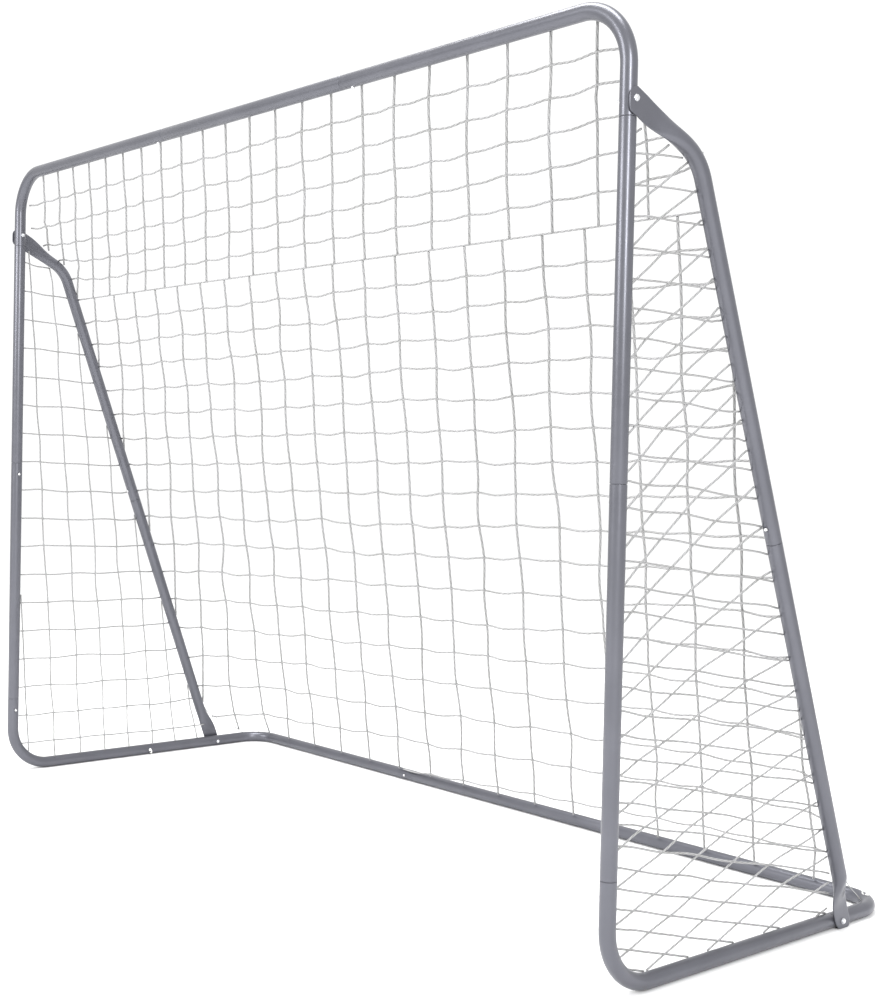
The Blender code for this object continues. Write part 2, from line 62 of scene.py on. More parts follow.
# Frame lines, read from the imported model
SPIGOT_LENGTH = 0.060
TUBE_R = (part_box("crossbar_middle")[1].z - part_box("crossbar_middle")[0].z) / 2
POST_X = middle("post_upper_right").x
FRONT_Y = middle("post_upper_right").y
REAR_Y = middle("rear_bar_middle").y
GROUND_Z = middle("rear_bar_middle").z
CROSSBAR_Z = middle("crossbar_middle").z
CROSSBAR_SEAM_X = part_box("crossbar_middle")[1].x - SPIGOT_LENGTH
REAR_SEAM_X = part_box("rear_bar_middle")[1].x - SPIGOT_LENGTH
POST_TOP_SEAM_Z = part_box("post_upper_right")[1].z - SPIGOT_LENGTH
POST_MIDDLE_SEAM_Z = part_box("post_upper_right")[0].z + SPIGOT_LENGTH
POST_BOTTOM_SEAM_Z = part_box("post_lower_right")[0].z + SPIGOT_LENGTH
RAIL_SEAM_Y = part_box("bottom_corner_right")[1].y - SPIGOT_LENGTH
TOP_BOLT = middle("nut_top_right")
FOOT_BOLT = middle("nut_foot_right")
BRACE_X = middle("brace_lower_right").x

# Tube stock
WALL = 0.0012
GAP = 0.0003
SEAM_GAP = 0.0006
BEND_R = 0.115
REAR_BEND_R = 0.085
SPIGOT_R = TUBE_R - WALL - GAP
TUBE_SIDES = 48
BEND_STEPS = 28
SHOULDER_R = 0.0011
SHOULDER_STEPS = 4
MOUTH_BEVEL = 0.0006

# Braces: lines, pressed plates and their rounded ends
BRACE_TOP_FALL = math.radians(27.5)
BRACE_LEAN = math.atan(0.3685)
BRACE_BEND_R = 0.10
BRACE_BEND_STEPS = 20
BRACE_SEAM_Z = 0.818
BRACE_STOP = 0.55
BRACE_BORE = 0.5
PLATE_THICKNESS = 0.003
PRESS_SHIFT = TUBE_R - PLATE_THICKNESS / 2
PLATE_HALF_WIDTH = 0.024
PLATE_DROP = 0.0023
PLATE_EDGE = 0.62
PLATE_STEPS = 14
PLATE_END_STEPS = 7
NOSE_LENGTH = 0.0195
NOSE_HALF_WIDTH = 0.0085
NOSE_SHIFT = 0.004
TOE_LENGTH = 0.0214
TOE_HALF_WIDTH = 0.012
TOE_BOTTOM_Z = 0.0006
TOP_ROUND_FROM = 0.135
TOP_FLAT_FROM = 0.030
FOOT_ROUND_FROM = 0.125
FOOT_FLAT_FROM = 0.046

# Buttons, springs, bolts and nuts
BUTTON_R = 0.004
BUTTON_HOLE_R = 0.0046
FLANGE_R = 0.0055
FLANGE_BOTTOM = 0.0098
FLANGE_TOP = 0.0113
DOME_START = 0.0172
DOME_STEPS = 9
BUTTON_TOP = 0.0208
EDGE_ROUND = 0.0002
SPRING_THICKNESS = 0.0008
SPRING_WIDTH = 0.007
SPRING_UPPER_LEG = ((-0.006, 0.0091), (0.005, 0.0091), (0.010, 0.0078))
SPRING_TURN_AT = (0.0205, -0.0012)
SPRING_TURN_R = 0.0028
SPRING_TURN_STEPS = 8
SPRING_LOWER_LEG = ((0.006, -0.0086), (-0.010, -0.0117))
HOLE_FROM = 0.009
HOLE_TO = 0.020
WASHER_R = 0.0064
BOLT_R = 0.003
BOLT_THREADS = 17
THREAD_PITCH = 0.001
BOLT_TAIL = 0.0082
HEX_R = 0.0056
HEX_TWIST = {"top": math.radians(17), "foot": math.radians(4)}

# Net hooks
HOOK_WIRE_R = 0.0016
HOOK_HEAD = ((0, 0.0040), (0.0004, 0.0045), (0.0014, 0.0043), (0.0021, 0.0030), (0.0026, 0.00184))
HOOK_NECK = 0.0055
HOOK_CURL_R = 0.005
HOOK_CURL = math.radians(250)
HOOK_STEPS = 22
BRACE_HOOK_Z = {"upper": 1.050, "lower": 0.630}

# Net: cords and knots
ROW_CORD_R = 0.0027
COLUMN_CORD_R = 0.0030
FOLD_CORD_R = 0.0024
BORDER_CORD_R = 0.0012
SIDE_CORD_R = 0.0022
KNOT_R = 0.0028
SIDE_KNOT_R = 0.0024
KNOT_LENGTH = 1.68
KNOT_DEPTH = 1.288
KNOT_LUMPS = 0.22
CORD_SIDES = 6
CORD_LAY = 7
CORD_STRANDS = 3
CELL_STEPS = 6
BORDER_HALVINGS = 9
SHARE_SLACK = 1e-6
SHORTEST_CORD = 0.004
CORD_STEP_LEAST = 0.0001
WANDER_SEED = 4
ROOF_WANDER = (7.0, 0.006, 3.0)
BACK_WANDER = (6.0, 0.009, 8.0)
SIDE_WANDER = (9.0, 0.006, 5.0)

# Net: meshes, and how far the columns run askew (m of width per m of depth, and the change of
# that per m of width)
ROOF_CELLS = 6
ROOF_MESH = 0.107
ROOF_MESH_GROWTH = 0.0007
ROOF_PHASE = 0.090
ROOF_SKEW = -1.38
ROOF_SKEW_CHANGE = 0.45
ROOF_ROW_TILT = -0.033
ROOF_COLUMNS = range(-12, 15)
ROOF_ROWS = range(1, ROOF_CELLS)
BACK_ROW_SHARE = 0.0422
BACK_ROW_GROWTH = 0.00092
BACK_MESH = 0.120
BACK_PHASE = 0.068
BACK_SKEW = -1.05
BACK_SKEW_CHANGE = 0.36
BACK_ROW_TILT = -0.040
BACK_COLUMNS = range(-11, 22)
BACK_ROWS = range(1, 18)
EDGE_STEPS = 60
EDGE_CALM = 0.08
SIDE_CALM = 0.06
ROW_DROOP = 0.004
ROOF_SAG = 0.006
ROOF_IN_FROM_POST = 0.008
ROOF_BELOW_BAR = 0.006
ROOF_OVER_PLATE = 0.006
ROOF_BLEND = 0.30
ROOF_BEND_STEPS = 6
FOLD_DROP = 0.085
FOLD_GAP = 0.003
BACK_FOOT_Y = REAR_Y - 0.012
BACK_FOOT_Z = GROUND_Z + TUBE_R + 0.001
GUSSET_END = 0.110
GUSSET_MIDDLE = 0.450
GUSSET_FULL_TO = 0.90
ROOF_EDGE_LEAD = 0.15
SETTLE_ROUNDS = 12
SETTLE_STEP = 0.25
NET_OFF_BRACE = 0.0168
NET_OFF_FOOT = 0.009
CORNER_IN = 0.038
CORNER_FROM = 0.94
END_IN = 0.009
END_OFF = 0.015
BRACE_END_OUT = {"left": 0.0115, "right": -0.0120}
BRACE_END_OFF = 0.0125
SIDE_X = POST_X - END_IN
PLATE_CLEAR = 0.0255
TUBE_CLEAR = 0.0175
SIDE_FLARE = 0.30
FLARE_FROM_Z = 0.12
FLARE_FROM_POST = 0.06
LEFT_MESH = 0.085
LEFT_ROW_SLOPE = -0.02
LEFT_LEAN = 0.068
LEFT_COLUMNS = range(-2, 10)
LEFT_ROWS = range(-1, 22)
RIGHT_DROP_FROM = 1.462
RIGHT_DROP_PITCH = 0.0558
RIGHT_DROP_SHRINK = 0.00034
RIGHT_DROP_SLOPE = -0.30
RIGHT_DROP_SLOPE_CHANGE = 0.22
RIGHT_CLIMB_FROM = 1.478
RIGHT_CLIMB_PITCH = 0.0676
RIGHT_CLIMB_SLOPES = (0.38, 0.83)
RIGHT_CLIMB_HEIGHTS = (0.33, 0.80)
RIGHT_COLUMNS = range(-2, 27)
RIGHT_ROWS = range(-2, 33)
SEEDS = {"roof": 11, "back": 23, "left": 30, "right": 32}


# The brace's centre line in its plane: down from the top bolt, round one bend, and down to the foot
UPPER_WAY = Vector((0, math.cos(BRACE_TOP_FALL), -math.sin(BRACE_TOP_FALL)))
LOWER_WAY = Vector((0, math.sin(BRACE_LEAN), -math.cos(BRACE_LEAN)))
BRACE_START = Vector((0, TOP_BOLT.y, TOP_BOLT.z - PLATE_DROP))
BRACE_END = Vector((0, FOOT_BOLT.y, GROUND_Z))


def brace_point(z):
    """The point at height z on the brace's long straight part."""
    return BRACE_END + LOWER_WAY * ((z - BRACE_END.z) / LOWER_WAY.z)


def brace_corner():
    """Where the two straight lines of the brace meet."""
    between = BRACE_END - BRACE_START
    cross = UPPER_WAY.y * LOWER_WAY.z - UPPER_WAY.z * LOWER_WAY.y
    return BRACE_START + UPPER_WAY * ((between.y * LOWER_WAY.z - between.z * LOWER_WAY.y) / cross)


# ---------- materials


def principled(name, colour, roughness, metallic=0.0):
    """A material with its Principled shader and the links and nodes to build on."""
    made = bpy.data.materials.new(name)
    made.use_nodes = True
    nodes = made.node_tree.nodes
    shader = nodes["Principled BSDF"]
    shader.inputs["Base Color"].default_value = (*colour, 1.0)
    shader.inputs["Roughness"].default_value = roughness
    shader.inputs["Metallic"].default_value = metallic
    return made, made.node_tree, shader


def add_noise(tree, scale, detail, stretch=(1, 1, 1)):
    """A noise texture in object space, and its factor output."""
    place = tree.nodes.new("ShaderNodeTexCoord")
    mapping = tree.nodes.new("ShaderNodeMapping")
    mapping.inputs["Scale"].default_value = stretch
    texture = tree.nodes.new("ShaderNodeTexNoise")
    texture.inputs["Scale"].default_value = scale
    texture.inputs["Detail"].default_value = detail
    tree.links.new(place.outputs["Object"], mapping.inputs["Vector"])
    tree.links.new(mapping.outputs["Vector"], texture.inputs["Vector"])
    return texture.outputs["Fac"]


def ramp(tree, source, stops):
    """A colour ramp on a factor; stops are (position, colour)."""
    made = tree.nodes.new("ShaderNodeValToRGB")
    elements = made.color_ramp.elements
    while len(elements) < len(stops):
        elements.new(0.5)
    for element, (position, colour) in zip(elements, stops):
        element.position = position
        element.color = (*colour, 1.0)
    tree.links.new(source, made.inputs["Fac"])
    return made.outputs["Color"]


def add_math(tree, operation, first, second=None):
    """A maths node on one or two outputs, or on an output and a number."""
    made = tree.nodes.new("ShaderNodeMath")
    made.operation = operation
    tree.links.new(first, made.inputs[0])
    if isinstance(second, float):
        made.inputs[1].default_value = second
    elif second:
        tree.links.new(second, made.inputs[1])
    return made.outputs["Value"]


def add_bump(tree, shader, height, strength, distance):
    """Bump from a height output, chained onto the shader's normal."""
    bump = tree.nodes.new("ShaderNodeBump")
    bump.inputs["Strength"].default_value = strength
    bump.inputs["Distance"].default_value = distance
    tree.links.new(height, bump.inputs["Height"])
    before = shader.inputs["Normal"].links
    if before:
        tree.links.new(before[0].from_socket, bump.inputs["Normal"])
    tree.links.new(bump.outputs["Normal"], shader.inputs["Normal"])


def paint_material():
    """Satin powder coat, blue grey, with a fine orange peel and faint handling marks."""
    made, tree, shader = principled("frame_paint_satin", (0.114, 0.116, 0.135), 0.33, 0.6)
    cloudy = add_noise(tree, 9.0, 3.0)
    tint = ramp(tree, cloudy, ((0.3, (0.107, 0.109, 0.127)), (0.7, (0.122, 0.124, 0.144))))
    tree.links.new(tint, shader.inputs["Base Color"])
    marks = add_noise(tree, 60.0, 5.0)
    rough = ramp(tree, marks, ((0.35, (0.30, 0.30, 0.30)), (0.75, (0.38, 0.38, 0.38))))
    tree.links.new(rough, shader.inputs["Roughness"])
    peel = add_noise(tree, 650.0, 2.0)
    add_bump(tree, shader, peel, 0.02, 0.0003)
    shader.inputs["Coat Weight"].default_value = 0.15
    shader.inputs["Coat Roughness"].default_value = 0.35
    return made


def zinc_material(name, colour, roughness):
    """Plated metal with fine turning marks and small stains."""
    made, tree, shader = principled(name, colour, roughness, 1.0)
    stains = add_noise(tree, 260.0, 4.0)
    rough = ramp(tree, stains, ((0.3, (roughness - 0.06,) * 3), (0.75, (roughness + 0.14,) * 3)))
    tree.links.new(rough, shader.inputs["Roughness"])
    scratches = add_noise(tree, 900.0, 2.0, stretch=(1, 0.2, 1))
    add_bump(tree, shader, scratches, 0.1, 0.0002)
    return made


def plastic_material():
    """Moulded white polypropylene."""
    made, tree, shader = principled("hook_plastic_white", (0.86, 0.86, 0.84), 0.42)
    grain = add_noise(tree, 700.0, 2.0)
    add_bump(tree, shader, grain, 0.15, 0.0002)
    shader.inputs["Subsurface Weight"].default_value = 0.05
    shader.inputs["Subsurface Radius"].default_value = (0.004, 0.004, 0.004)
    return made


def cord_material():
    """Twisted white polyethylene cord: three strands laid around each other, a little soiled, with
    painted shade in the grooves between the strands.
    """
    made, tree, shader = principled("net_cord_twisted", (0.62, 0.62, 0.62), 0.75)
    place = tree.nodes.new("ShaderNodeUVMap")
    place.uv_map = "cord"
    split = tree.nodes.new("ShaderNodeSeparateXYZ")
    tree.links.new(place.outputs["UV"], split.inputs["Vector"])
    lay = add_math(tree, "ADD", split.outputs["X"], split.outputs["Y"])
    lobes = add_math(tree, "SINE", add_math(tree, "MULTIPLY", lay, math.tau))
    lifted = tree.nodes.new("ShaderNodeMapRange")
    lifted.inputs["From Min"].default_value = -1.0
    lifted.inputs["From Max"].default_value = 1.0
    tree.links.new(lobes, lifted.inputs["Value"])
    strands = lifted.outputs["Result"]
    # Painted shade: the base colour runs darker in the grooves between the laid strands and lighter on
    # their crowns.
    groove_shade_tone = ramp(tree, strands, ((0.0, (0.20, 0.20, 0.205)), (0.55, (0.35, 0.35, 0.355))))
    dirt = add_noise(tree, 14.0, 4.0)
    dirt_tone = ramp(tree, dirt, ((0.35, (0.88, 0.88, 0.86)), (0.65, (1.0, 1.0, 1.0))))
    mixed = tree.nodes.new("ShaderNodeMix")
    mixed.data_type = "RGBA"
    mixed.blend_type = "MULTIPLY"
    mixed.inputs["Factor"].default_value = 1.0
    tree.links.new(groove_shade_tone, mixed.inputs["A"])
    tree.links.new(dirt_tone, mixed.inputs["B"])
    tree.links.new(mixed.outputs["Result"], shader.inputs["Base Color"])
    fibres = add_noise(tree, 900.0, 2.0)
    add_bump(tree, shader, strands, 0.6, 0.0008)
    add_bump(tree, shader, fibres, 0.15, 0.0003)
    shader.inputs["Sheen Weight"].default_value = 0.15
    return made


PAINT = paint_material()
ZINC = zinc_material("bolt_zinc_plate", (0.74, 0.75, 0.77), 0.26)
NICKEL = zinc_material("button_nickel_plate", (0.70, 0.70, 0.71), 0.2)
SPRING_STEEL = zinc_material("spring_steel_blued", (0.22, 0.22, 0.26), 0.36)
PLASTIC = plastic_material()
CORD = cord_material()


# ---------- mesh tools


def add_object(name, data):
    """A new object in the scene with a mesh, a light or a camera as its data."""
    made = bpy.data.objects.new(name, data)
    bpy.context.scene.collection.objects.link(made)
    return made


def mesh_from(name, bm):
    """A mesh from a bmesh, with its faces pointing out."""
    bmesh.ops.recalc_face_normals(bm, faces=bm.faces)
    mesh = bpy.data.meshes.new(name)
    bm.to_mesh(mesh)
    bm.free()
    return mesh


def declare(piece, surface, body, node):
    """Give a piece its material and its body, and let it stand for a CAD node."""
    piece.data.materials.append(surface)
    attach(piece, body)
    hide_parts(node)


def finish_piece(name, bm, surface, body, node, sharp=35):
    """The mesh as a smooth piece that rides a body and stands for a CAD node."""
    mesh = mesh_from(name, bm)
    mesh.shade_smooth()
    mesh.set_sharp_from_angle(angle=math.radians(sharp))
    piece = add_object(name, mesh)
    declare(piece, surface, body, node)
    return piece


def skin(rings, closed, bm=None):
    """Faces over a row of equal rings: joined back to the first ring, or capped at both ends."""
    bm = bm or bmesh.new()
    rows = [[bm.verts.new(point) for point in ring] for ring in rings]
    pairs = list(zip(rows, rows[1:]))
    if closed:
        pairs.append((rows[-1], rows[0]))
    for row, following in pairs:
        for k in range(len(row)):
            after = (k + 1) % len(row)
            bm.faces.new((row[k], row[after], following[after], following[k]))
    if not closed:
        bm.faces.new(rows[0])
        bm.faces.new(rows[-1])
    return bm


def circle(centre, across, side, radius, sides=TUBE_SIDES):
    """Points of a circle in the plane of two directions."""
    ring = []
    for k in range(sides):
        angle = (k + 0.5) * math.tau / sides
        ring.append(centre + (across * math.cos(angle) + side * math.sin(angle)) * radius)
    return ring


def ease(value):
    """A smooth step from 0 to 1."""
    value = min(max(value, 0.0), 1.0)
    return value * value * (3 - 2 * value)


def pressed(centre, across, side, half_width, flatness):
    """A tube's ring on its way from round to a plate on its inboard side, with rounded edges."""
    ring = []
    half = TUBE_SIDES // 2
    for k, point in enumerate(circle(Vector((0, 0, 0)), across, side, TUBE_R)):
        run = 1 - 2 * (k % half) / (half - 1)
        face = 1 if k < half else -1
        edge = 1.0 if abs(run) < 0.93 else PLATE_EDGE
        flat = across * (half_width * run * face)
        flat = flat + side * (PLATE_THICKNESS / 2 * edge * face - PRESS_SHIFT)
        ring.append(centre + point.lerp(flat, flatness))
    return ring


def route(points, side, bend_radius=BEND_R, steps=BEND_STEPS):
    """Stations (centre, across, side) along a straight line, or a line with one rounded corner."""
    start, end = points[0], points[-1]
    if len(points) == 2:
        across = side.cross((end - start).normalized())
        return [(start, across, side), (end, across, side)]
    corner = points[1]
    into = (corner - start).normalized()
    out = (end - corner).normalized()
    turn = into.angle(out)
    towards_centre = (out - into * into.dot(out)).normalized()
    centre = corner - into * (bend_radius * math.tan(turn / 2)) + towards_centre * bend_radius
    stations = [(start, side.cross(into), side)]
    for k in range(steps + 1):
        angle = turn * k / steps
        spoke = into * math.sin(angle) - towards_centre * math.cos(angle)
        tangent = into * math.cos(angle) + towards_centre * math.sin(angle)
        stations.append((centre + spoke * bend_radius, side.cross(tangent), side))
    stations.append((end, side.cross(out), side))
    return stations


def with_stops(stations, distance=SPIGOT_LENGTH):
    """An extra station on each straight stretch, so that a hole's edge doesn't shade the whole tube."""
    made = [stations[0]]
    for before, after in zip(stations, stations[1:]):
        run = after[0] - before[0]
        if run.length > max(0.05, distance + 0.002):
            made.append((before[0] + run.normalized() * distance, before[1], before[2]))
        made.append(after)
    return made


def rings_along(station, way, pairs, sides=TUBE_SIDES):
    """Rings at (distance, radius) pairs along a direction from a station."""
    centre, across, side = station
    return [circle(centre + way * distance, across, side, radius, sides) for distance, radius in pairs]


def mouth_rings(station, inwards):
    """The open end of a tube: outside bevel, end face, inside bevel."""
    outside = ((MOUTH_BEVEL, TUBE_R), (0, TUBE_R - MOUTH_BEVEL))
    inside = ((0, TUBE_R - WALL + MOUTH_BEVEL), (MOUTH_BEVEL, TUBE_R - WALL))
    return rings_along(station, inwards, outside + inside)


def spigot_rings(station, outwards):
    """A swaged end: rounded shoulder, neck, tip, and the bore back to the tube."""
    pairs = []
    for k in range(SHOULDER_STEPS + 1):
        angle = math.pi / 2 * k / SHOULDER_STEPS
        pairs.append((-SHOULDER_R * (1 - math.sin(angle)), TUBE_R - SHOULDER_R * (1 - math.cos(angle))))
    pairs += [(0, SPIGOT_R), (SPIGOT_LENGTH - 0.001, SPIGOT_R), (SPIGOT_LENGTH, SPIGOT_R - 0.0005)]
    pairs += [(SPIGOT_LENGTH, SPIGOT_R - WALL), (-0.001, SPIGOT_R - WALL), (-0.006, TUBE_R - WALL)]
    return rings_along(station, outwards, pairs)


def tube_rings(stations, start_spigot, end_spigot):
    """All rings of a tube, outside from start to end and inside back again."""
    first, last = stations[0], stations[-1]
    into = (stations[1][0] - first[0]).normalized()
    out = (last[0] - stations[-2][0]).normalized()
    start = spigot_rings(first, -into) if start_spigot else mouth_rings(first, into)
    end = spigot_rings(last, out) if end_spigot else mouth_rings(last, -out)
    between = [circle(*station, TUBE_R) for station in stations[1:-1]]
    inside = [circle(*station, TUBE_R - WALL) for station in stations[-2:0:-1]]
    return start[::-1] + between + end + inside


def painted(node, bm):
    """A painted tube in place of the CAD tube of that name."""
    return finish_piece("tube_" + node, bm, PAINT, "frame", node)


def tube(node, stations, start_spigot=False, end_spigot=False):
    """A round tube along its stations, with a swaged end where asked."""
    return painted(node, skin(tube_rings(stations, start_spigot, end_spigot), closed=True))


def turned(profile, centre, axis, sides, bm=None):
    """A solid of revolution; profile is a list of (distance along the axis, radius)."""
    across = axis.orthogonal().normalized()
    side = axis.cross(across)
    return skin(rings_along((centre, across, side), axis, profile, sides), closed=False, bm=bm)


def cut_hole(target, centre, axis, radius, reach_in, reach_out):
    """Cut a round hole through a wall, with the result applied to the mesh."""
    mesh = mesh_from("hole_cutter", turned([(reach_in, radius), (reach_out, radius)], centre, axis, 32))
    cutter = add_object("hole_cutter", mesh)
    cut = target.modifiers.new("hole", "BOOLEAN")
    cut.operation = "DIFFERENCE"
    cut.solver = "EXACT"
    cut.object = cutter
    bpy.context.view_layer.update()
    evaluated = target.evaluated_get(bpy.context.evaluated_depsgraph_get())
    result = bpy.data.meshes.new_from_object(evaluated)
    target.modifiers.remove(cut)
    previous = target.data
    target.data = result
    bpy.data.meshes.remove(previous)
    bpy.data.objects.remove(cutter)
    bpy.data.meshes.remove(mesh)
    result.shade_smooth()
    result.set_sharp_from_angle(angle=math.radians(35))


# ---------- frame tubes


def crossbar():
    """Crossbar middle and the two top corners."""
    ends = [Vector((sign * CROSSBAR_SEAM_X, FRONT_Y, CROSSBAR_Z)) for sign in (-1, 1)]
    tubes = {"crossbar_middle": tube("crossbar_middle", route(ends, Y), True, True)}
    for name, sign in SIDE_SIGNS.items():
        inner_end = Vector((sign * (CROSSBAR_SEAM_X + SEAM_GAP), FRONT_Y, CROSSBAR_Z))
        corner = Vector((sign * POST_X, FRONT_Y, CROSSBAR_Z))
        lower_end = Vector((sign * POST_X, FRONT_Y, POST_TOP_SEAM_Z + SEAM_GAP))
        node = "top_corner_" + name
        tubes[node] = tube(node, with_stops(route([inner_end, corner, lower_end], Y)))
    return tubes


def posts():
    """Upper and lower post tubes."""
    tubes = {}
    for name, sign in SIDE_SIGNS.items():
        heights = (POST_TOP_SEAM_Z, POST_MIDDLE_SEAM_Z, POST_BOTTOM_SEAM_Z)
        top, centre, bottom = [Vector((sign * POST_X, FRONT_Y, z)) for z in heights]
        node = "post_upper_" + name
        tubes[node] = tube(node, route([top, centre], Y), True, True)
        node = "post_lower_" + name
        tubes[node] = tube(node, with_stops(route([centre - Z * SEAM_GAP, bottom], Y)), end_spigot=True)
    return tubes


def ground_frame():
    """Bottom corners with the rails, rear corners and the rear bar."""
    ends = [Vector((sign * REAR_SEAM_X, REAR_Y, GROUND_Z)) for sign in (-1, 1)]
    tubes = {"rear_bar_middle": tube("rear_bar_middle", route(ends, Z), True, True)}
    for name, sign in SIDE_SIGNS.items():
        top = Vector((sign * POST_X, FRONT_Y, POST_BOTTOM_SEAM_Z - SEAM_GAP))
        corner = Vector((sign * POST_X, FRONT_Y, GROUND_Z))
        rail_end = Vector((sign * POST_X, RAIL_SEAM_Y, GROUND_Z))
        rear_corner = Vector((sign * POST_X, REAR_Y, GROUND_Z))
        bar_end = Vector((sign * (REAR_SEAM_X + SEAM_GAP), REAR_Y, GROUND_Z))
        node = "bottom_corner_" + name
        tubes[node] = tube(node, with_stops(route([top, corner, rail_end], X)), end_spigot=True)
        rear = route([bar_end, rear_corner, rail_end + Y * SEAM_GAP], Z, REAR_BEND_R)
        node = "rear_corner_" + name
        tubes[node] = tube(node, with_stops(rear))
    return tubes


def plate_outline(half_length, end_half):
    """(distance ahead, half width) pairs of a plate's rounded end, from full width to blunt tip."""
    pairs = []
    for k in range(PLATE_END_STEPS + 1):
        angle = math.pi / 2 * k / PLATE_END_STEPS
        width = end_half + (PLATE_HALF_WIDTH * 1.07 - end_half) * math.cos(angle) ** 0.8
        pairs.append((half_length * math.sin(angle) ** 1.15, width))
    return pairs


def brace_upper(name, sign):
    """The bent brace tube: pressed plate with a cropped nose, bend, and an open lower end."""
    side = X * sign
    offset = side * BRACE_X
    corner = brace_corner()
    seam = brace_point(BRACE_SEAM_Z) - LOWER_WAY * SEAM_GAP
    reach = (corner - BRACE_START).length - BRACE_BEND_R * math.tan(UPPER_WAY.angle(LOWER_WAY) / 2)
    stations = []
    first = TOP_FLAT_FROM * 0.7
    for k in range(PLATE_STEPS):
        distance = first + (reach - first) * k / PLATE_STEPS
        stations.append((BRACE_START + UPPER_WAY * distance + offset, side.cross(UPPER_WAY), side))
    line = [point + offset for point in (BRACE_START, corner, seam)]
    bend = route(line, side, BRACE_BEND_R, BRACE_BEND_STEPS)
    stations = with_stops(stations + bend[1:], BRACE_STOP)
    outer = []
    for centre, across, _ in stations[:-1]:
        distance = (centre - offset - BRACE_START).length
        flatness = 1 - ease((distance - TOP_FLAT_FROM) / (TOP_ROUND_FROM - TOP_FLAT_FROM))
        outer.append(pressed(centre, across, side, PLATE_HALF_WIDTH, flatness))
    nose = []
    nose_centre = Vector((0, TOP_BOLT.y + NOSE_SHIFT, TOP_BOLT.z - 2 * PLATE_DROP)) + offset
    level = Z * sign
    for ahead, half in plate_outline(NOSE_LENGTH, NOSE_HALF_WIDTH):
        nose.append(pressed(nose_centre - Y * ahead, level, side, half, 1))
    end = mouth_rings(stations[-1], -LOWER_WAY)
    bore_end = circle(stations[-1][0] - LOWER_WAY * BRACE_BORE, stations[-1][1], side, TUBE_R - WALL)
    return painted("brace_upper_" + name, skin(nose[::-1] + outer + end + [bore_end], closed=False))


def brace_lower(name, sign):
    """The straight brace tube: swaged top, and a pressed foot with a rounded toe."""
    side = X * sign
    offset = side * BRACE_X
    across = side.cross(LOWER_WAY)
    seam = brace_point(BRACE_SEAM_Z) + offset
    outer = []
    for k in range(PLATE_STEPS + 1):
        height = FOOT_ROUND_FROM + (FOOT_FLAT_FROM * 0.85 - FOOT_ROUND_FROM) * k / PLATE_STEPS
        centre = brace_point(height) + offset
        flatness = ease((FOOT_ROUND_FROM - height) / (FOOT_ROUND_FROM - FOOT_FLAT_FROM))
        outer.append(pressed(centre, across, side, PLATE_HALF_WIDTH, flatness))
    toe = []
    level = Y * sign
    for ahead, half in plate_outline(TOE_LENGTH, TOE_HALF_WIDTH):
        centre = brace_point(TOE_BOTTOM_Z + TOE_LENGTH - ahead) + offset
        toe.append(pressed(centre, level, side, half, 1))
    top = spigot_rings((seam, across, side), -LOWER_WAY)
    bore_end = circle(seam + LOWER_WAY * BRACE_BORE, across, side, TUBE_R - WALL)
    return painted("brace_lower_" + name, skin(toe[::-1] + outer[::-1] + top + [bore_end], closed=False))


# ---------- buttons and springs


def spring_strip(centre, along, out):
    """A bent leaf with rounded folds, its open end behind the button."""
    side = along.cross(out)
    points = [Vector(spot) for spot in SPRING_UPPER_LEG]
    for k in range(SPRING_TURN_STEPS + 1):
        angle = math.radians(65 - 150 * k / SPRING_TURN_STEPS)
        points.append(Vector(SPRING_TURN_AT) + Vector((math.cos(angle), math.sin(angle))) * SPRING_TURN_R)
    points += [Vector(spot) for spot in SPRING_LOWER_LEG]
    rings = []
    for k, point in enumerate(points):
        before = points[max(k - 1, 0)]
        after = points[min(k + 1, len(points) - 1)]
        tangent = (after - before).normalized()
        normal = Vector((-tangent.y, tangent.x)) * (SPRING_THICKNESS / 2)
        ring = []
        for lift, shift in ((1, -1), (1, 1), (-1, 1), (-1, -1)):
            spot = point + normal * lift
            ring.append(centre + along * spot.x + out * spot.y + side * (shift * SPRING_WIDTH / 2))
        rings.append(ring)
    return skin(rings, closed=False)


def snap_button(key, tubes, out, towards_tip):
    """Button, spring, and the holes that the button needs in both of its tubes."""
    node = "button_" + key
    centre = middle(node) - out * ((FLANGE_BOTTOM + BUTTON_TOP) / 2)
    rim = FLANGE_R - EDGE_ROUND
    profile = [(FLANGE_BOTTOM, rim), (FLANGE_BOTTOM + EDGE_ROUND, FLANGE_R)]
    profile += [(FLANGE_TOP - EDGE_ROUND, FLANGE_R), (FLANGE_TOP, rim), (FLANGE_TOP, BUTTON_R)]
    for k in range(DOME_STEPS):
        angle = math.pi / 2 * k / DOME_STEPS
        rise = (BUTTON_TOP - DOME_START) * math.sin(angle)
        profile.append((DOME_START + rise, BUTTON_R * math.cos(angle) ** 0.7))
    bm = turned(profile, centre, out, 32)
    finish_piece("snap_" + node, bm, NICKEL, "snap_" + key, node)
    spring = "spring_" + key
    spring_bm = spring_strip(centre, -towards_tip, out)
    leaf = finish_piece("leaf_" + spring, spring_bm, SPRING_STEEL, "frame", spring)
    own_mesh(leaf)
    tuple(out)
    for holed in tubes:
        cut_hole(holed, centre, out, BUTTON_HOLE_R, HOLE_FROM, HOLE_TO)


def snap_buttons(tubes):
    """Every spring button: the tubes it holds, its way out, and the way to the inner tube's tip."""
    for name, sign in SIDE_SIGNS.items():
        side = X * sign
        for group, inner, outer, out, towards_tip in (
            ("crossbar", "crossbar_middle", "top_corner_" + name, -Z, side),
            ("post_middle", "post_upper_" + name, "post_lower_" + name, -side, -Z),
            ("post_bottom", "post_lower_" + name, "bottom_corner_" + name, -side, -Z),
            ("rear_bar", "rear_bar_middle", "rear_corner_" + name, -Y, side),
            ("brace", "brace_lower_" + name, "brace_upper_" + name, LOWER_WAY.cross(X), -LOWER_WAY),
        ):
            snap_button(group + "_" + name, (tubes[inner], tubes[outer]), out, towards_tip)


# ---------- bolts and nuts


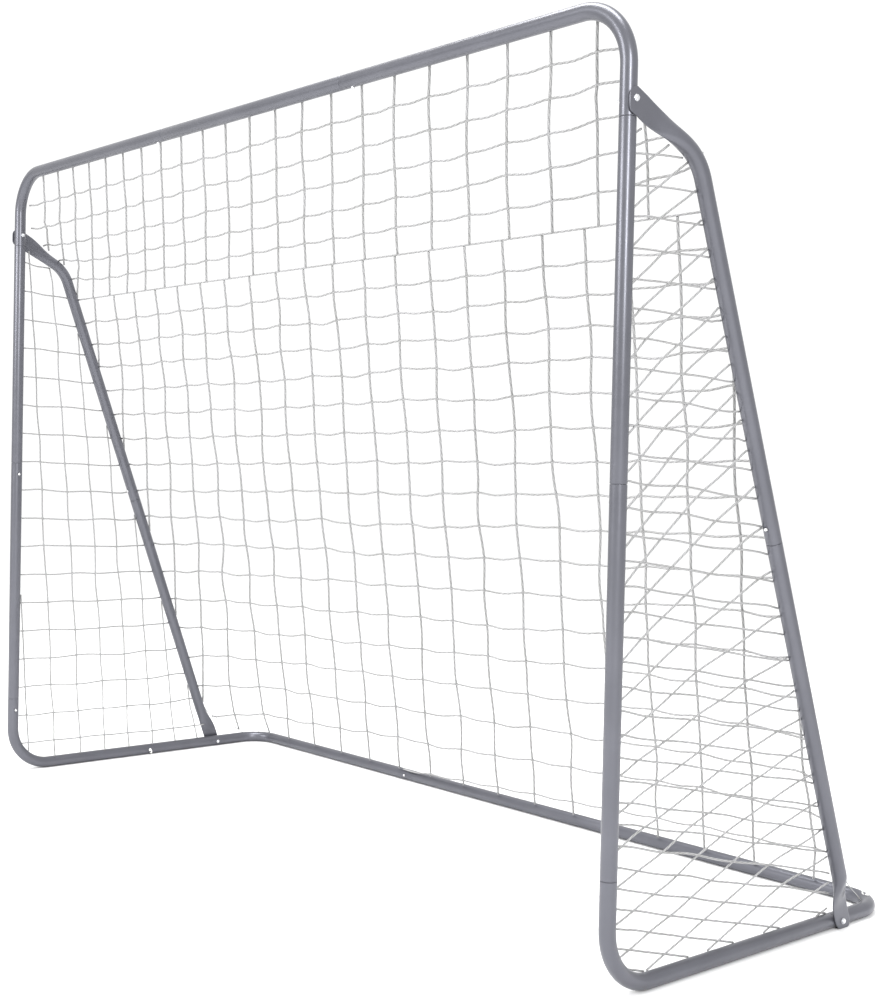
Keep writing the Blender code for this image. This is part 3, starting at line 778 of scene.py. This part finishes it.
def hexagon(centre, radius, twist):
    """Six corners in the plane across X."""
    ring = []
    for k in range(6):
        angle = twist + k * math.tau / 6
        ring.append(centre + (Y * math.cos(angle) + Z * math.sin(angle)) * radius)
    return ring


def through_bolt(level, name, sign):
    """Hex bolt with a washer and a threaded tail, and its nut."""
    nut_node = "nut_" + level + "_" + name
    bolt_node = "bolt_" + level + "_" + name
    out = X * sign
    at = middle(nut_node)
    axis_point = Vector((0, at.y, at.z))
    face = POST_X + TUBE_R + GAP + PLATE_THICKNESS + GAP
    inner_end = POST_X - TUBE_R - BOLT_TAIL
    twist = HEX_TWIST[level]

    def hexagons(pairs):
        """Hexagons from (distance out, radius) pairs."""
        return [hexagon(axis_point + out * distance, radius, twist) for distance, radius in pairs]

    head = face + 0.0010
    washer = [(face, WASHER_R), (head - 0.0002, WASHER_R), (head, WASHER_R - 0.0003)]
    bm = turned(washer, axis_point, out, 32)
    head_rings = hexagons(((head, HEX_R), (head + 0.0022, HEX_R), (head + 0.0028, HEX_R * 0.86)))
    skin(head_rings, closed=False, bm=bm)
    profile = []
    for k in range(BOLT_THREADS):
        base = inner_end + k * THREAD_PITCH
        profile.append((base, BOLT_R * 0.86))
        profile.append((base + THREAD_PITCH / 2, BOLT_R))
    profile.append((face, BOLT_R))
    turned(profile, axis_point, out, 20, bm=bm)
    finish_piece("hex_" + bolt_node, bm, ZINC, "frame", bolt_node, sharp=28)
    low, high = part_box(nut_node)
    near = max(abs(low.x), abs(high.x))
    far = min(abs(low.x), abs(high.x))
    nut = [(near, HEX_R * 0.88), (near - 0.0006, HEX_R), (far + 0.0006, HEX_R), (far, HEX_R * 0.88)]
    bore = [(far, BOLT_R * 1.18), (near, BOLT_R * 1.18)]
    bm = skin(hexagons(nut + bore), closed=True)
    finish_piece("hex_" + nut_node, bm, ZINC, "frame", nut_node, sharp=28)


# ---------- net hooks


def net_hook(node, surface_point, out, curl_side):
    """A moulded hook: domed button head, neck and curled end."""
    third = out.cross(curl_side)
    base = surface_point + out * GAP
    centre = base + out * HOOK_NECK + curl_side * HOOK_CURL_R
    rings = rings_along((base, curl_side, third), out, HOOK_HEAD, 20)
    for k in range(HOOK_STEPS + 1):
        angle = HOOK_CURL * k / HOOK_STEPS
        spoke = out * math.sin(angle) - curl_side * math.cos(angle)
        thin = HOOK_WIRE_R * (1 - 0.16 * max(0, k - HOOK_STEPS + 3))
        rings.append(circle(centre + spoke * HOOK_CURL_R, -spoke, third, thin, 20))
    bm = skin(rings, closed=False)
    finish_piece("clip_" + node, bm, PLASTIC, "frame", node, sharp=50)


def net_hooks():
    """Hooks where the CAD has them."""
    rearward = X.cross(LOWER_WAY)
    bend_middle = REAR_BEND_R * (1 - math.cos(math.pi / 4))
    for name, sign in SIDE_SIGNS.items():
        at = middle("hook_crossbar_" + name)
        net_hook("hook_crossbar_" + name, Vector((at.x, FRONT_Y + TUBE_R, CROSSBAR_Z)), Y, Z)
        for level, height in BRACE_HOOK_Z.items():
            on_brace = brace_point(height) + X * (sign * BRACE_X) + rearward * TUBE_R
            net_hook("hook_brace_" + level + "_" + name, on_brace, rearward, X * -sign)
        at = middle("hook_rail_" + name)
        on_rail = Vector((sign * (POST_X - TUBE_R), at.y, GROUND_Z))
        net_hook("hook_rail_" + name, on_rail, X * -sign, -Z)
        on_corner = Vector((sign * (POST_X - bend_middle), REAR_Y - bend_middle, GROUND_Z + TUBE_R))
        inward = Vector((-sign, -1, 0)).normalized()
        net_hook("hook_rear_corner_" + name, on_corner, Z, inward)


# ---------- net


class CordNet:
    """A knotted panel as one mesh of cords and knots, with a uv of (turns of lay, turns around).

    spot(i, j) is a lattice point in the panel's own two coordinates, inside() says whether such
    a point is within the panel, and place() puts it in space.
    """

    def __init__(self, name, spot, inside, place):
        self.name = name
        self.spot = spot
        self.inside = inside
        self.place = place
        self.vertices = []
        self.faces = []
        self.uvs = []
        self.random = random.Random(SEEDS[name])

    def cord(self, points, radius):
        """A round cord along the points, leaving out any that fall on the one before."""
        points = points[:1] + [after for before, after in zip(points, points[1:])
                               if (after - before).length > CORD_STEP_LEAST]
        first = len(self.vertices)
        travelled = 0.0
        frame_across = None
        runs = []
        for k, point in enumerate(points):
            before = points[max(k - 1, 0)]
            after = points[min(k + 1, len(points) - 1)]
            tangent = (after - before).normalized()
            if frame_across is None:
                frame_across = tangent.orthogonal().normalized()
            frame_across = (frame_across - tangent * frame_across.dot(tangent)).normalized()
            side = tangent.cross(frame_across)
            if k:
                travelled += (point - before).length
            runs.append(travelled / (radius * CORD_LAY))
            for s in range(CORD_SIDES):
                angle = math.tau * s / CORD_SIDES
                spoke = frame_across * math.cos(angle) + side * math.sin(angle)
                self.vertices.append(point + spoke * radius)
        for k in range(len(points) - 1):
            for s in range(CORD_SIDES):
                after = (s + 1) % CORD_SIDES
                row = first + k * CORD_SIDES
                self.faces.append((row + s, row + after, row + CORD_SIDES + after, row + CORD_SIDES + s))
                here = s / CORD_SIDES * CORD_STRANDS
                there = here + CORD_STRANDS / CORD_SIDES
                self.uvs += [(runs[k], here), (runs[k], there), (runs[k + 1], there), (runs[k + 1], here)]
        last = first + (len(points) - 1) * CORD_SIDES
        self.faces.append(tuple(first + s for s in reversed(range(CORD_SIDES))))
        self.faces.append(tuple(last + s for s in range(CORD_SIDES)))
        self.uvs.extend([(0.0, 0.0)] * (2 * CORD_SIDES))

    def knot(self, centre, along, across, radius):
        """A small lumpy knot where two cords cross."""
        normal = along.cross(across).normalized()
        bm = bmesh.new()
        bmesh.ops.create_icosphere(bm, subdivisions=1, radius=1.0)
        bmesh.ops.subdivide_edges(bm, edges=bm.edges, cuts=1, use_grid_fill=True)
        first = len(self.vertices)
        bm.verts.ensure_lookup_table()
        for vert in bm.verts:
            spot = vert.co.normalized()
            swell = 1 + KNOT_LUMPS * self.random.uniform(-1, 1)
            flat = (along * spot.x + across * spot.y) * KNOT_LENGTH
            moved = flat + normal * (spot.z * KNOT_DEPTH)
            self.vertices.append(centre + moved * (radius * swell))
        for face in bm.faces:
            self.faces.append(tuple(first + vert.index for vert in face.verts))
            for vert in face.verts:
                self.uvs.append((vert.co.x * 0.4, vert.co.y))
        bm.free()

    def strand(self, lattice_points, radius, droop):
        """One cord through the lattice, cut at the border, hanging a little between its knots."""
        spots = [self.spot(i, j).to_3d() for i, j in lattice_points]
        for spot, (i, j) in zip(spots, lattice_points):
            spot.z = droop * math.sin(math.pi * i) ** 2 * math.sin(math.pi * (j + 0.5)) ** 2
        for run in clipped(spots, lambda point: self.inside(point.xy)):
            line = [self.place(point.xy) - Z * point.z for point in run]
            if sum((b - a).length for a, b in zip(line, line[1:])) > SHORTEST_CORD:
                self.cord(line, radius)

    def weave(self, columns, rows, row_radius, column_radius, knot_radius, droop=0.0):
        """Every row and column in two ranges, each a cell longer at both ends, and their knots."""
        for j in rows:
            self.strand([(i, j) for i in steps_along(columns)], row_radius, droop)
        for i in columns:
            self.strand([(i, j) for j in steps_along(rows)], column_radius, 0.0)
        for i in columns:
            for j in rows:
                spot = self.spot(i, j)
                ahead = self.spot(i + 0.1, j)
                below = self.spot(i, j + 0.1)
                if self.inside(spot) and self.inside(ahead) and self.inside(below):
                    here = self.place(spot)
                    along = (self.place(ahead) - here).normalized()
                    across = (self.place(below) - here).normalized()
                    self.knot(here, along, across, knot_radius)

    def edge(self, spots, radius):
        """A cord through points given in the panel's own coordinates."""
        self.cord([self.place(Vector(spot)) for spot in spots], radius)

    def build(self):
        """The mesh as a piece in place of its CAD panel."""
        node = "net_" + self.name
        mesh = bpy.data.meshes.new(node + "_mesh")
        mesh.from_pydata([tuple(v) for v in self.vertices], [], self.faces)
        layer = mesh.uv_layers.new(name="cord")
        layer.data.foreach_set("uv", [value for pair in self.uvs for value in pair])
        mesh.shade_smooth()
        declare(add_object(node + "_mesh", mesh), CORD, "frame", node)


def steps_along(numbers):
    """Lattice steps from a cell before a range's first number to a cell past its last."""
    count = (len(numbers) + 1) * CELL_STEPS
    return [numbers[0] - 1 + k / CELL_STEPS for k in range(count + 1)]


def clipped(line, inside):
    """The stretches of a line that lie inside a region, each ending on its border."""
    runs = []
    run = []
    for before, after in zip(line, line[1:]):
        within_before, within_after = inside(before), inside(after)
        if within_before and not run:
            run = [before]
        if within_before and within_after:
            run.append(after)
        elif within_before:
            run.append(border_point(before, after, inside))
            runs.append(run)
            run = []
        elif within_after:
            run = [border_point(after, before, inside), after]
    if len(run) > 1:
        runs.append(run)
    return runs


def border_point(within, beyond, inside):
    """Where the line from a point inside the region to one outside crosses the border."""
    for _ in range(BORDER_HALVINGS):
        half = (within + beyond) / 2
        if inside(half):
            within = half
        else:
            beyond = half
    return within


def wander(point, waves, size, offset):
    """A smooth random shift, the same for every cord that passes through the point."""
    return noise.noise_vector(point * waves + X * offset) * size


def beside_brace(z, off):
    """The depth at a distance behind (+) or in front of (-) the brace's line, more at its wide foot."""
    foot = NET_OFF_FOOT * ease((FOOT_ROUND_FROM - z) / (FOOT_ROUND_FROM - FOOT_FLAT_FROM))
    return brace_point(z).y + (off + math.copysign(foot, off)) / math.cos(BRACE_LEAN)


FOLD_Z = brace_corner().z - FOLD_DROP
FOLD_Y = beside_brace(FOLD_Z, NET_OFF_BRACE)
POST_EDGE_X = POST_X - ROOF_IN_FROM_POST
BAR_EDGE_X = POST_X - BEND_R
ROOF_TOP_Y = FRONT_Y + TUBE_CLEAR
ROOF_TOP_Z = CROSSBAR_Z - ROOF_BELOW_BAR


def roof_edge(t):
    """The roof's side edge: round the corner bend, down the post, and along the brace to the fold."""
    t = min(max(t, 0.0), 1.0)
    bend = Vector((BAR_EDGE_X, ROOF_TOP_Y, CROSSBAR_Z - BEND_R))
    corner = brace_corner()
    stops = [Vector((BAR_EDGE_X, ROOF_TOP_Y, ROOF_TOP_Z))]
    for k in range(1, ROOF_BEND_STEPS + 1):
        angle = math.pi / 2 * k / ROOF_BEND_STEPS
        reach = BEND_R - TUBE_R * 0.4
        stops.append(bend + Vector((math.sin(angle) * reach, 0, math.cos(angle) * reach)))
    above = X.cross(UPPER_WAY) * NET_OFF_BRACE
    stops.append(Vector((POST_EDGE_X, ROOF_TOP_Y, BRACE_START.z + PLATE_HALF_WIDTH + ROOF_OVER_PLATE)))
    stops.append(BRACE_START.lerp(corner, 0.5) + above * 1.4 + X * (POST_X + TUBE_R))
    stops.append(corner + above + X * BRACE_X)
    stops.append(Vector((BRACE_X, FOLD_Y, FOLD_Z)))
    lengths = [(b - a).length for a, b in zip(stops, stops[1:])]
    share = t + ROOF_EDGE_LEAD * (1 - t) ** 2 * min(1.0, 8 * t)
    left = share * sum(lengths)
    for before, after, length in zip(stops, stops[1:], lengths):
        if left <= length:
            return before.lerp(after, left / length)
        left -= length
    return stops[-1]


def roof_depth_and_height(x, t):
    """The roof's depth and height: flat in the middle, drawn to the post and the brace at its sides."""
    edge = roof_edge(t)
    straight_y = ROOF_TOP_Y + (FOLD_Y - ROOF_TOP_Y) * t
    straight_z = ROOF_TOP_Z + (FOLD_Z - ROOF_TOP_Z) * t - ROOF_SAG * math.sin(math.pi * t)
    pull = max(0.0, (abs(x) - edge.x + ROOF_BLEND) / ROOF_BLEND) ** 2
    return straight_y + (edge.y - straight_y) * pull, straight_z + (edge.z - straight_z) * pull


def roof_place(spot):
    """A roof point in space; spot is (x, share of the way from the crossbar to the fold)."""
    x, t = spot
    place = Vector((x, *roof_depth_and_height(x, t)))
    calm = ease(4 * t * (1 - t)) * ease((roof_edge(t).x - abs(x)) / EDGE_CALM)
    return place + wander(place, *ROOF_WANDER) * calm


def settled(start_x, skew, travel):
    """Where a column hangs when it drifts sideways by skew for each metre of its own depth."""
    x = start_x
    for _ in range(SETTLE_ROUNDS):
        x += (start_x + skew * travel(x) - x) * SETTLE_STEP
    return x


def roof_net():
    """The panel from the crossbar down to the fold between the brace bends."""

    def spot(i, j):
        top_x = ROOF_PHASE + i * ROOF_MESH + i * i * ROOF_MESH_GROWTH
        t = j / ROOF_CELLS
        skew = ROOF_SKEW + ROOF_SKEW_CHANGE * top_x
        x = settled(top_x, skew, lambda at: roof_depth_and_height(at, t)[0] - ROOF_TOP_Y)
        return Vector((x, t + ROOF_ROW_TILT * x * math.sin(math.pi * t)))

    def inside(point):
        return -SHARE_SLACK <= point.y <= 1 + SHARE_SLACK and abs(point.x) <= roof_edge(point.y).x

    net = CordNet("roof", spot, inside, roof_place)
    net.weave(ROOF_COLUMNS, ROOF_ROWS, ROW_CORD_R, COLUMN_CORD_R, KNOT_R, ROW_DROOP)
    for half_length, t, radius in ((BAR_EDGE_X, 0, BORDER_CORD_R), (BRACE_X, 1, FOLD_CORD_R)):
        net.edge([(half_length * k / EDGE_STEPS, t) for k in range(-EDGE_STEPS, EDGE_STEPS + 1)], radius)
    net.build()


def back_depth(x, z, t):
    """The back panel's depth: flat in the middle, drawn forward to the braces at its sides."""
    flat = FOLD_Y + (BACK_FOOT_Y - FOLD_Y) * t
    gusset = GUSSET_END + (GUSSET_MIDDLE - GUSSET_END) * 4 * t * (1 - t)
    pull = max(0.0, (abs(x) - BRACE_X + gusset) / gusset) ** 2
    return flat + (beside_brace(z, NET_OFF_BRACE) - flat) * pull


def back_height(t):
    """The height at a share of the way from the fold to the rear bar."""
    top_z = FOLD_Z - FOLD_GAP
    return top_z + (BACK_FOOT_Z - top_z) * t


def back_edge(t):
    """How far out the back panel reaches: to the braces, and inside the rear corners at its foot."""
    return BRACE_X - CORNER_IN * ease((t - CORNER_FROM) / (1 - CORNER_FROM))


def back_place(spot):
    """A back point in space; spot is (x, share of the way from the fold to the rear bar)."""
    x, t = spot
    z = back_height(t)
    place = Vector((x, back_depth(x, z, t), z))
    calm = ease(12 * t * (1 - t)) * ease((back_edge(t) - abs(x)) / EDGE_CALM)
    return place + wander(place, *BACK_WANDER) * calm


def back_net():
    """The panel from the fold down to the rear bar, tied along the braces."""

    def spot(i, j):
        top_x = BACK_PHASE + i * BACK_MESH
        t = BACK_ROW_SHARE * j + BACK_ROW_GROWTH * j * j
        skew = BACK_SKEW + BACK_SKEW_CHANGE * top_x
        near_t = min(max(t, 0.0), GUSSET_FULL_TO)
        beyond = (BACK_FOOT_Y - FOLD_Y) * (t - near_t)
        x = settled(top_x, skew, lambda at: back_depth(at, back_height(near_t), near_t) - FOLD_Y + beyond)
        return Vector((x, t * (1 + BACK_ROW_TILT * x)))

    def inside(point):
        return -SHARE_SLACK <= point.y <= 1 + SHARE_SLACK and abs(point.x) <= back_edge(point.y)

    net = CordNet("back", spot, inside, back_place)
    net.weave(BACK_COLUMNS, BACK_ROWS, ROW_CORD_R, COLUMN_CORD_R, KNOT_R, ROW_DROOP)
    shares = [k / EDGE_STEPS for k in range(EDGE_STEPS + 1)]
    for sign in SIDE_SIGNS.values():
        net.edge([(sign * back_edge(t), t) for t in shares], BORDER_CORD_R)
    net.build()


SIDE_FRONT = FRONT_Y + END_OFF
SIDE_REAR = beside_brace(GROUND_Z + TUBE_R, -BRACE_END_OFF)


def side_limits(y):
    """Lowest and highest point of a side panel at a depth."""
    low = GROUND_Z + END_OFF
    before_bend = BEND_R - (y - FRONT_Y)
    if before_bend > 0:
        inner_r = BEND_R - END_OFF
        low = GROUND_Z + BEND_R - math.sqrt(max(inner_r**2 - before_bend**2, 0))
    back = y - BRACE_START.y
    clear = TUBE_CLEAR + (PLATE_CLEAR - TUBE_CLEAR) * ease(1 - back / TOP_ROUND_FROM)
    under_plate = BRACE_START.z - back * math.tan(BRACE_TOP_FALL) - clear
    brace_foot = FOOT_BOLT.y - BRACE_END_OFF / math.cos(BRACE_LEAN)
    before_brace = GROUND_Z + (brace_foot - y) / math.tan(BRACE_LEAN)
    return low, min(under_plate, before_brace)


def side_x(y, z, end_out):
    """How far out a side panel hangs: behind the post at its front, and out to the brace at its rear."""
    to_brace = min(beside_brace(z, -BRACE_END_OFF) - y, side_limits(y)[1] - z)
    flare = max(0.0, 1 - to_brace / SIDE_FLARE) ** 2
    flare *= min(1.0, (y - SIDE_FRONT) / FLARE_FROM_POST) * min(1.0, (z - GROUND_Z) / FLARE_FROM_Z)
    return SIDE_X + (BRACE_X + end_out - SIDE_X) * flare


def side_net(name, sign, spot, columns, rows):
    """A side panel between the post, the rail and the brace; spot gives (y, z)."""

    def inside(point):
        low, high = side_limits(point.x)
        return SIDE_FRONT <= point.x <= SIDE_REAR and low <= point.y <= high

    def place(point):
        at = Vector((sign * side_x(point.x, point.y, BRACE_END_OUT[name]), point.x, point.y))
        low, high = side_limits(point.x)
        border = min(point.x - SIDE_FRONT, point.y - low, high - point.y)
        calm = ease(border / SIDE_CALM)
        shift = wander(at, *SIDE_WANDER) * calm
        shift.x *= 0.3
        return at + shift

    net = CordNet(name, spot, inside, place)
    net.weave(columns, rows, SIDE_CORD_R, SIDE_CORD_R, SIDE_KNOT_R)
    net.build()


def left_spot(i, j):
    """The left panel hangs nearly square."""
    front_z = CROSSBAR_Z - j * LEFT_MESH
    run = (i * LEFT_MESH + LEFT_LEAN * (CROSSBAR_Z - front_z)) / (1 + LEFT_LEAN * LEFT_ROW_SLOPE)
    return Vector((SIDE_FRONT + run, front_z + LEFT_ROW_SLOPE * run))


def right_spot(i, j):
    """The right panel hangs askew: one set of cords drops to the rear and the other climbs."""
    drop_z = RIGHT_DROP_FROM - j * RIGHT_DROP_PITCH + j * j * RIGHT_DROP_SHRINK
    drop = RIGHT_DROP_SLOPE + RIGHT_DROP_SLOPE_CHANGE * drop_z
    climb_z = RIGHT_CLIMB_FROM - i * RIGHT_CLIMB_PITCH
    low_z, high_z = RIGHT_CLIMB_HEIGHTS
    flattest, steepest = RIGHT_CLIMB_SLOPES
    climb = flattest + (steepest - flattest) * ease((climb_z - low_z) / (high_z - low_z))
    run = (drop_z - climb_z) / (climb - drop)
    return Vector((SIDE_FRONT + run, drop_z + drop * run))


def nets():
    """Roof, back and sides."""
    noise.seed_set(WANDER_SEED)
    roof_net()
    back_net()
    side_net("left", -1, left_spot, LEFT_COLUMNS, LEFT_ROWS)
    side_net("right", 1, right_spot, RIGHT_COLUMNS, RIGHT_ROWS)


# ---------- camera, floor and light

CAMERA_AT = Vector((2.9628, FRONT_Y - 1.9623, GROUND_Z + 0.9477))
SENSOR = 36.0
CAMERA_YAW = -0.84764
CAMERA_PITCH = -0.02639
CAMERA_ROLL = 0.02221
FOCAL_OVER_HEIGHT = 1.47446
CLIP_END = 200.0
FLOOR_HALF = 60.0
WORLD_STRENGTH = 1.1
LIT_POINT = Vector((0.0, 0.0, 0.9))
SOFT_BOXES = {
    "overhead": ((0.0, -0.5, 5.0), (4.0, 1.2), 200),
    "right_strip": ((6.0, -2.9, 3.1), (0.5, 2.6), 220),
    "front_box": ((-1.2, -6.0, 3.1), (2.4, 2.6), 200),
}


def add_camera():
    """The camera at the photograph's viewing angle."""
    ahead = Vector((math.sin(CAMERA_YAW), math.cos(CAMERA_YAW), 0))
    level = Vector((math.cos(CAMERA_YAW), -math.sin(CAMERA_YAW), 0))
    forward = ahead * math.cos(CAMERA_PITCH) + Z * math.sin(CAMERA_PITCH)
    upright = level.cross(forward)
    right = level * math.cos(CAMERA_ROLL) + upright * math.sin(CAMERA_ROLL)
    up = upright * math.cos(CAMERA_ROLL) - level * math.sin(CAMERA_ROLL)
    data = bpy.data.cameras.new("camera")
    data.sensor_width = SENSOR
    data.lens = SENSOR * FOCAL_OVER_HEIGHT
    data.clip_end = CLIP_END
    camera = add_object("camera", data)
    turn = Matrix((right, up, -forward)).transposed().to_4x4()
    camera.matrix_world = Matrix.Translation(CAMERA_AT) @ turn
    bpy.context.scene.camera = camera


def add_floor():
    """A plain pale floor."""
    bm = bmesh.new()
    bmesh.ops.create_grid(bm, x_segments=1, y_segments=1, size=FLOOR_HALF)
    floor = add_object("floor", mesh_from("floor", bm))
    made, _, _ = principled("floor_pale", (0.95, 0.95, 0.95), 0.9)
    floor.data.materials.append(made)


def add_soft_box(name, at, size, power):
    """A soft box that faces the goal, and isn't seen itself."""
    data = bpy.data.lights.new(name, "AREA")
    data.shape = "RECTANGLE"
    data.size, data.size_y = size
    data.energy = power
    light = add_object(name, data)
    turn = (Vector(at) - LIT_POINT).to_track_quat("Z", "Y").to_matrix().to_4x4()
    light.matrix_world = Matrix.Translation(Vector(at)) @ turn
    light.visible_camera = False


def add_world():
    """White all round."""
    world = bpy.data.worlds.new("studio")
    world.use_nodes = True
    background = world.node_tree.nodes["Background"]
    background.inputs["Color"].default_value = (1.0, 1.0, 1.0, 1.0)
    background.inputs["Strength"].default_value = WORLD_STRENGTH
    bpy.context.scene.world = world


def studio():
    """Camera, floor and plain soft light."""
    add_camera()
    add_floor()
    add_world()
    for name, (at, size, power) in SOFT_BOXES.items():
        add_soft_box(name, at, size, power)
    bpy.context.scene.view_settings.view_transform = "Standard"


def build():
    """The whole goal, and the studio round it."""
    tubes = crossbar()
    tubes.update(posts())
    tubes.update(ground_frame())
    for name, sign in SIDE_SIGNS.items():
        tubes["brace_upper_" + name] = brace_upper(name, sign)
        tubes["brace_lower_" + name] = brace_lower(name, sign)
        for level in ("top", "foot"):
            through_bolt(level, name, sign)
    snap_buttons(tubes)
    net_hooks()
    nets()
    studio()


build()
